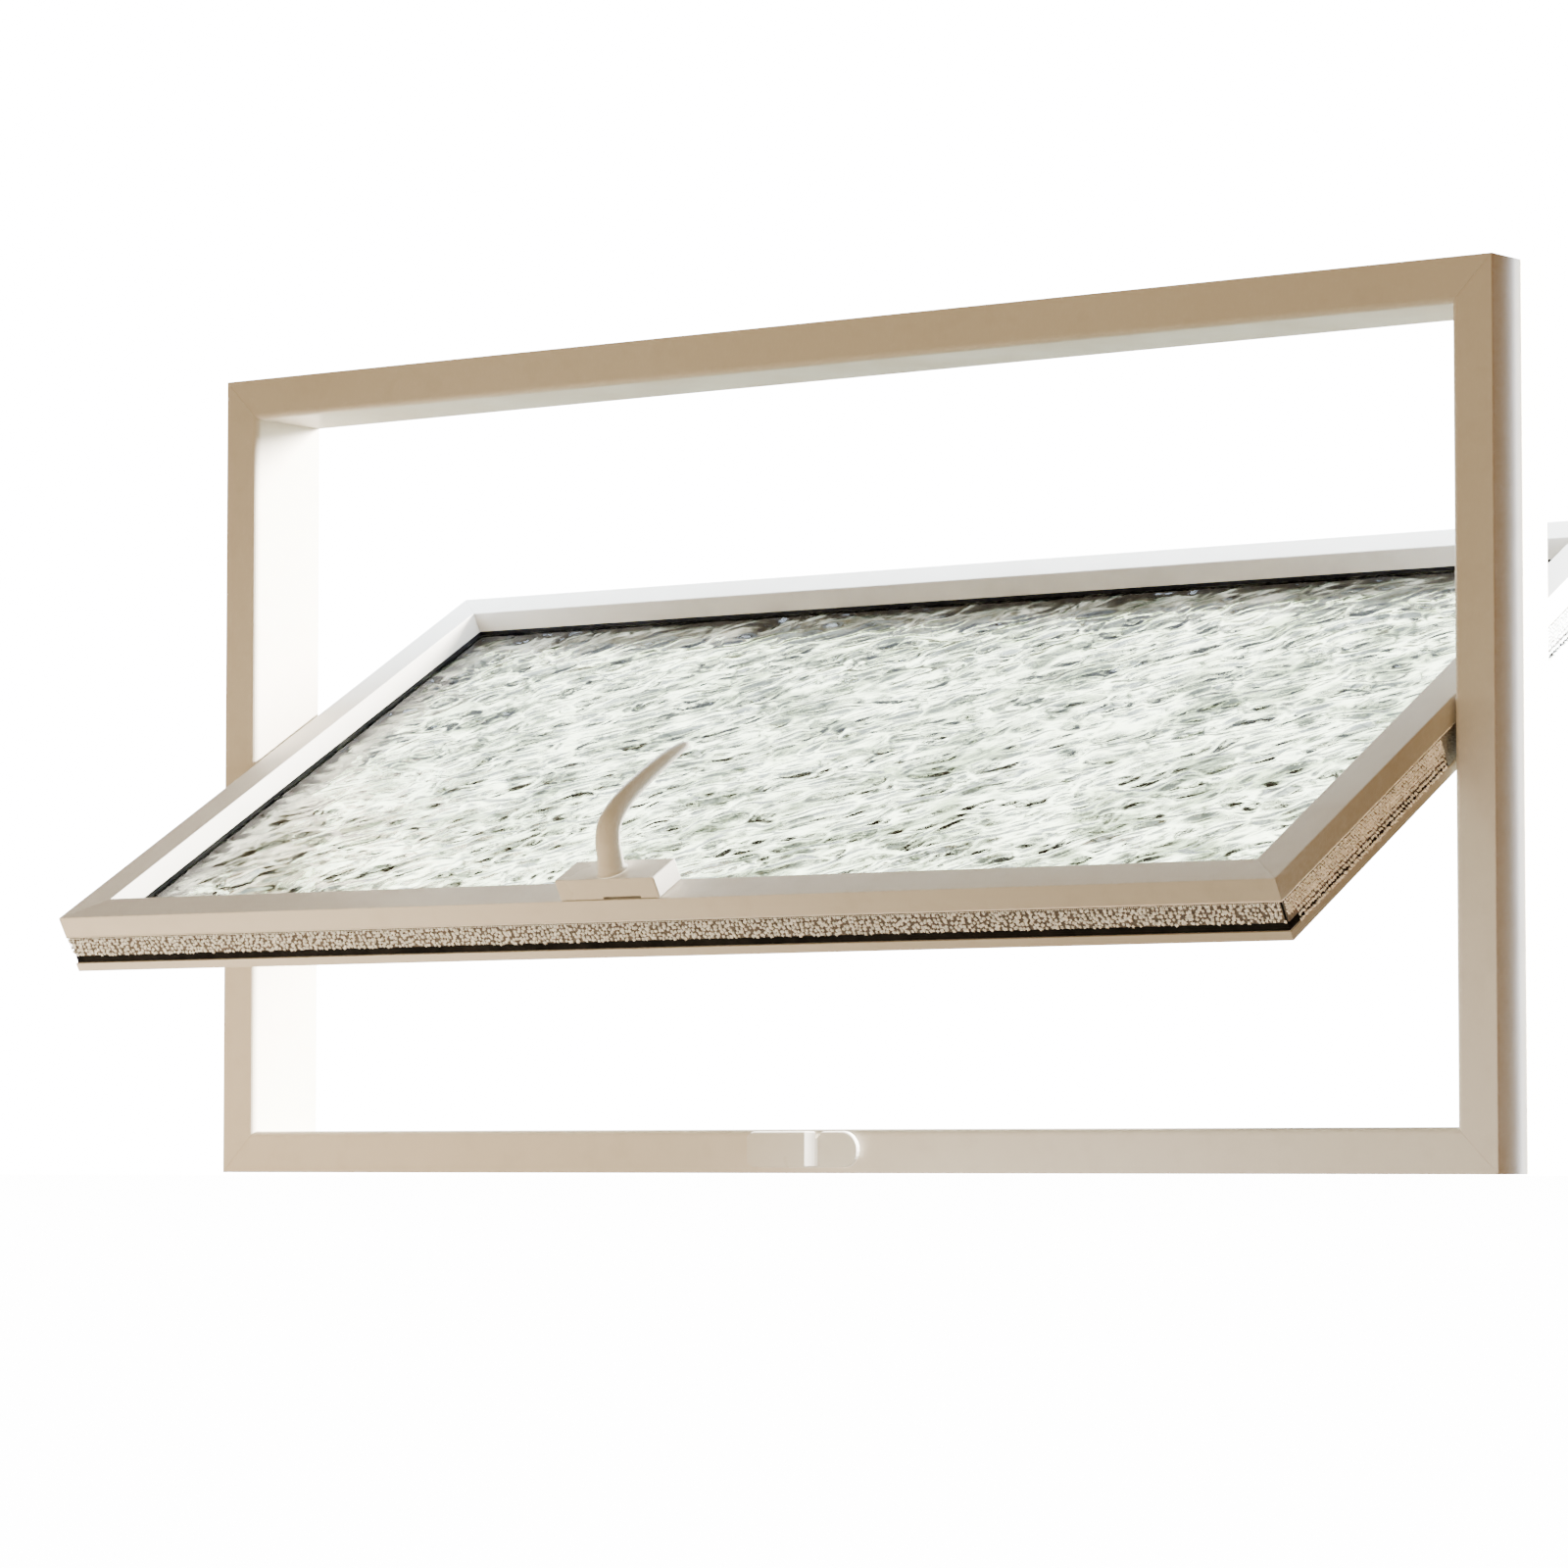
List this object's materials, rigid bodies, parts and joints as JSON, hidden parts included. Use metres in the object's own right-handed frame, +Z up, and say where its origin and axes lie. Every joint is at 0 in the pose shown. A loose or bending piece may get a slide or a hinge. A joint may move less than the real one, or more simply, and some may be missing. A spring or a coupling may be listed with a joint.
{
  "type": "centre-pivot window",
  "caption": "Horizontal centre-pivot window: mitred off-white metal frame, tilting sash with obscured glass, lever handle with nose and keeper, shown open.",
  "frame": {"origin": "centre of the sill's flat underside, at half the frame's depth", "axes": "+X along the window to the right as seen from the room, -Y towards the room, +Z up"},
  "size_m": [1, 0.4478, 0.545],
  "materials": {
    "frame_paint": "satin off-white paint on aluminium extrusion",
    "sash_paint": "satin off-white paint on aluminium extrusion",
    "hardware_paint": "smooth cream enamel on die-cast metal",
    "obscured_glass": "wavy figured obscured glass, faintly green",
    "black_rubber": "matt black rubber",
    "grey_seal": "pale grey glazing wedge",
    "wool_pile": "grey-beige brushed pile",
    "zinc_steel": "zinc-plated steel",
    "cleat_aluminium": "mill-finish aluminium",
    "white_nylon": "white nylon"
  },
  "bodies": {
    "frame": {"frame_cleat_bottom_left": "cleat_aluminium", "frame_cleat_bottom_right": "cleat_aluminium", "frame_cleat_top_left": "cleat_aluminium", "frame_cleat_top_right": "cleat_aluminium", "frame_head": "frame_paint", "frame_jamb_left": "frame_paint", "frame_jamb_right": "frame_paint", "frame_sill": "frame_paint", "keeper": "hardware_paint", "keeper_screw_left": "zinc_steel", "keeper_screw_right": "zinc_steel", "pivot_housing_left": "zinc_steel", "pivot_housing_right": "zinc_steel", "pivot_housing_screw_lower_left": "zinc_steel", "pivot_housing_screw_lower_right": "zinc_steel", "pivot_housing_screw_upper_left": "zinc_steel", "pivot_housing_screw_upper_right": "zinc_steel"},
    "sash": {"edge_seal_lower": "black_rubber", "edge_seal_upper": "black_rubber", "glass_gasket_outside": "grey_seal", "glass_gasket_room": "black_rubber", "glass_pane": "obscured_glass", "glass_setting_block_left": "white_nylon", "glass_setting_block_right": "white_nylon", "glazing_bead_bottom": "sash_paint", "glazing_bead_left": "sash_paint", "glazing_bead_right": "sash_paint", "glazing_bead_top": "sash_paint", "handle_bridge": "zinc_steel", "handle_cover": "hardware_paint", "handle_screw_left": "zinc_steel", "handle_screw_right": "zinc_steel", "pile_strip_bottom": "wool_pile", "pile_strip_left_lower": "wool_pile", "pile_strip_left_upper": "wool_pile", "pile_strip_right_lower": "wool_pile", "pile_strip_right_upper": "wool_pile", "pile_strip_top": "wool_pile", "pivot_pin_left": "zinc_steel", "pivot_pin_right": "zinc_steel", "pivot_plate_left": "zinc_steel", "pivot_plate_right": "zinc_steel", "pivot_plate_screw_lower_left": "zinc_steel", "pivot_plate_screw_lower_right": "zinc_steel", "pivot_plate_screw_upper_left": "zinc_steel", "pivot_plate_screw_upper_right": "zinc_steel", "pivot_washer_left": "white_nylon", "pivot_washer_right": "white_nylon", "sash_cleat_bottom_left": "cleat_aluminium", "sash_cleat_bottom_right": "cleat_aluminium", "sash_cleat_top_left": "cleat_aluminium", "sash_cleat_top_right": "cleat_aluminium", "sash_rail_bottom": "sash_paint", "sash_rail_top": "sash_paint", "sash_stile_left": "sash_paint", "sash_stile_right": "sash_paint"},
    "handle": {"handle_lever": "hardware_paint", "handle_nose": "zinc_steel", "handle_spindle": "zinc_steel", "handle_washer": "white_nylon"}
  },
  "joints": [
    {"name": "sash_tilt", "type": "hinge", "parent": "frame", "child": "sash", "pos_m": [0, -0.013, 0.2685], "axis": [-1, 0, 0], "range_deg": [-60, 30]},
    {"name": "handle_turn", "type": "hinge", "parent": "sash", "child": "handle", "pos_m": [-0.008, -0.21984, 0.17275], "axis": [0, 0.5, -0.866], "range_deg": [0, 90]}
  ]
}
